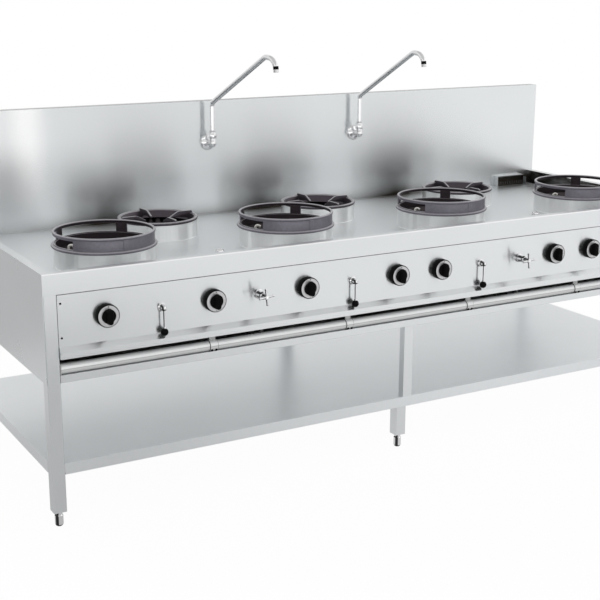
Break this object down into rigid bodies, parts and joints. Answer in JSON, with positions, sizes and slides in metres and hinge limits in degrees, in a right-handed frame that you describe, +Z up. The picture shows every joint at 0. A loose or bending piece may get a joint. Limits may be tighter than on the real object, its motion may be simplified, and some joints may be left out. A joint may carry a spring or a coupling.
{
  "type": "wok range",
  "caption": "Commercial gas wok range: raised wok rings in front, pan burners behind, sunken worktop, splashback with swing faucets, knobs, rail and undershelf.",
  "frame": {"origin": "on the floor under the middle of the range's outline", "axes": "+X to the right seen from the cook's side, +Y to the splashback, +Z up"},
  "size_m": [2.754, 1.064, 1.4625],
  "materials": {
    "sheet_steel": "satin sheet",
    "tube_steel": "satin tube",
    "polished_steel": "polished",
    "cast_iron": "rough casting",
    "black_plastic": "satin",
    "brass": "machined",
    "ceramic": "glazed ceramic",
    "pipe_steel": "drawn pipe"
  },
  "bodies": {
    "chassis": {"side_panel_left": "sheet_steel", "side_panel_right": "sheet_steel", "control_panel": "sheet_steel", "worktop": "sheet_steel", "splashback": "sheet_steel", "shelf": "sheet_steel", "bottom_pan": "sheet_steel", "wok_wells": "sheet_steel", "rear_wells": "sheet_steel", "drain_gully": "sheet_steel", "leg_front_left": "tube_steel", "leg_front_right": "tube_steel", "leg_front_middle": "tube_steel", "legs_rear": "tube_steel", "post_front_middle": "tube_steel", "front_beam": "tube_steel", "front_rail": "tube_steel", "rail_brackets": "tube_steel", "tap_bodies": "polished_steel", "faucet_bodies": "polished_steel", "deck_nozzles": "polished_steel", "lever_sockets": "polished_steel", "wok_burners": "cast_iron", "rear_burners": "cast_iron", "knob_bezels": "black_plastic", "panel_screws": "black_plastic", "gas_valves": "brass", "pilot_burners": "brass", "gas_manifold": "pipe_steel", "water_pipes": "pipe_steel", "igniters": "ceramic"},
    "foot_front_left": {"foot_front_left": "polished_steel"},
    "foot_front_middle": {"foot_front_middle": "polished_steel"},
    "foot_front_right": {"foot_front_right": "polished_steel"},
    "foot_rear_left": {"foot_rear_left": "polished_steel"},
    "foot_rear_middle": {"foot_rear_middle": "polished_steel"},
    "foot_rear_right": {"foot_rear_right": "polished_steel"},
    "knob_1": {"knob_1": "black_plastic"},
    "knob_2": {"knob_2": "black_plastic"},
    "knob_3": {"knob_3": "black_plastic"},
    "knob_4": {"knob_4": "black_plastic"},
    "knob_5": {"knob_5": "black_plastic"},
    "knob_6": {"knob_6": "black_plastic"},
    "knob_7": {"knob_7": "black_plastic"},
    "pilot_lever_1": {"pilot_lever_1": "black_plastic"},
    "pilot_lever_2": {"pilot_lever_2": "black_plastic"},
    "pilot_lever_3": {"pilot_lever_3": "black_plastic"},
    "pilot_lever_4": {"pilot_lever_4": "black_plastic"},
    "cross_handle_1": {"cross_handle_1": "polished_steel"},
    "cross_handle_2": {"cross_handle_2": "polished_steel"},
    "faucet_spout_1": {"faucet_spout_1": "polished_steel"},
    "faucet_spout_2": {"faucet_spout_2": "polished_steel"},
    "wok_ring_1": {"wok_ring_1": "cast_iron"},
    "wok_ring_2": {"wok_ring_2": "cast_iron"},
    "wok_ring_3": {"wok_ring_3": "cast_iron"},
    "wok_ring_4": {"wok_ring_4": "cast_iron"},
    "pan_support_1": {"pan_support_1": "cast_iron"},
    "pan_support_2": {"pan_support_2": "cast_iron"},
    "pan_support_3": {"pan_support_3": "cast_iron"},
    "drain_strainer": {"drain_strainer": "sheet_steel"}
  },
  "joints": [
    {"name": "foot_front_left_level", "type": "slide", "parent": "chassis", "child": "foot_front_left", "axis": [0, 0, -1], "range_m": [0, 0.025]},
    {"name": "foot_front_middle_level", "type": "slide", "parent": "chassis", "child": "foot_front_middle", "axis": [0, 0, -1], "range_m": [0, 0.025]},
    {"name": "foot_front_right_level", "type": "slide", "parent": "chassis", "child": "foot_front_right", "axis": [0, 0, -1], "range_m": [0, 0.025]},
    {"name": "foot_rear_left_level", "type": "slide", "parent": "chassis", "child": "foot_rear_left", "axis": [0, 0, -1], "range_m": [0, 0.025]},
    {"name": "foot_rear_middle_level", "type": "slide", "parent": "chassis", "child": "foot_rear_middle", "axis": [0, 0, -1], "range_m": [0, 0.025]},
    {"name": "foot_rear_right_level", "type": "slide", "parent": "chassis", "child": "foot_rear_right", "axis": [0, 0, -1], "range_m": [0, 0.025]},
    {"name": "knob_1_turn", "type": "hinge", "parent": "chassis", "child": "knob_1", "pos_m": [-1.172, -0.498, 0.696], "axis": [0, -1, 0], "range_deg": [0, 180]},
    {"name": "knob_2_turn", "type": "hinge", "parent": "chassis", "child": "knob_2", "pos_m": [-0.794, -0.498, 0.696], "axis": [0, -1, 0], "range_deg": [0, 180]},
    {"name": "knob_3_turn", "type": "hinge", "parent": "chassis", "child": "knob_3", "pos_m": [-0.434, -0.498, 0.696], "axis": [0, -1, 0], "range_deg": [0, 180]},
    {"name": "knob_4_turn", "type": "hinge", "parent": "chassis", "child": "knob_4", "pos_m": [-0.053, -0.498, 0.696], "axis": [0, -1, 0], "range_deg": [0, 180]},
    {"name": "knob_5_turn", "type": "hinge", "parent": "chassis", "child": "knob_5", "pos_m": [0.137, -0.498, 0.696], "axis": [0, -1, 0], "range_deg": [0, 180]},
    {"name": "knob_6_turn", "type": "hinge", "parent": "chassis", "child": "knob_6", "pos_m": [0.685, -0.498, 0.696], "axis": [0, -1, 0], "range_deg": [0, 180]},
    {"name": "knob_7_turn", "type": "hinge", "parent": "chassis", "child": "knob_7", "pos_m": [0.873, -0.498, 0.696], "axis": [0, -1, 0], "range_deg": [0, 180]},
    {"name": "pilot_lever_1_swing", "type": "hinge", "parent": "chassis", "child": "pilot_lever_1", "pos_m": [-0.981, -0.487, 0.696], "axis": [0, -1, 0], "range_deg": [0, 90]},
    {"name": "pilot_lever_2_swing", "type": "hinge", "parent": "chassis", "child": "pilot_lever_2", "pos_m": [-0.246, -0.487, 0.696], "axis": [0, -1, 0], "range_deg": [0, 90]},
    {"name": "pilot_lever_3_swing", "type": "hinge", "parent": "chassis", "child": "pilot_lever_3", "pos_m": [0.326, -0.487, 0.696], "axis": [0, -1, 0], "range_deg": [0, 90]},
    {"name": "pilot_lever_4_swing", "type": "hinge", "parent": "chassis", "child": "pilot_lever_4", "pos_m": [1.061, -0.487, 0.696], "axis": [0, -1, 0], "range_deg": [0, 90]},
    {"name": "cross_handle_1_turn", "type": "hinge", "parent": "chassis", "child": "cross_handle_1", "pos_m": [-0.624, -0.526, 0.696], "axis": [0, -1, 0], "range_deg": [0, 720]},
    {"name": "cross_handle_2_turn", "type": "hinge", "parent": "chassis", "child": "cross_handle_2", "pos_m": [0.511, -0.526, 0.696], "axis": [0, -1, 0], "range_deg": [0, 720]},
    {"name": "faucet_spout_1_swing", "type": "hinge", "parent": "chassis", "child": "faucet_spout_1", "pos_m": [-0.3525, 0.439, 1.132], "axis": [0, 0, 1], "range_deg": [-90, 40]},
    {"name": "faucet_spout_2_swing", "type": "hinge", "parent": "chassis", "child": "faucet_spout_2", "pos_m": [0.3525, 0.439, 1.132], "axis": [0, 0, 1], "range_deg": [-40, 90]},
    {"name": "wok_ring_1_lift", "type": "slide", "parent": "chassis", "child": "wok_ring_1", "axis": [0, 0, 1], "range_m": [0, 0.12]},
    {"name": "wok_ring_2_lift", "type": "slide", "parent": "chassis", "child": "wok_ring_2", "axis": [0, 0, 1], "range_m": [0, 0.12]},
    {"name": "wok_ring_3_lift", "type": "slide", "parent": "chassis", "child": "wok_ring_3", "axis": [0, 0, 1], "range_m": [0, 0.12]},
    {"name": "wok_ring_4_lift", "type": "slide", "parent": "chassis", "child": "wok_ring_4", "axis": [0, 0, 1], "range_m": [0, 0.12]},
    {"name": "pan_support_1_lift", "type": "slide", "parent": "chassis", "child": "pan_support_1", "axis": [0, 0, 1], "range_m": [0, 0.12]},
    {"name": "pan_support_2_lift", "type": "slide", "parent": "chassis", "child": "pan_support_2", "axis": [0, 0, 1], "range_m": [0, 0.12]},
    {"name": "pan_support_3_lift", "type": "slide", "parent": "chassis", "child": "pan_support_3", "axis": [0, 0, 1], "range_m": [0, 0.12]},
    {"name": "drain_strainer_lift", "type": "slide", "parent": "chassis", "child": "drain_strainer", "axis": [0, 0, 1], "range_m": [0, 0.1]}
  ]
}
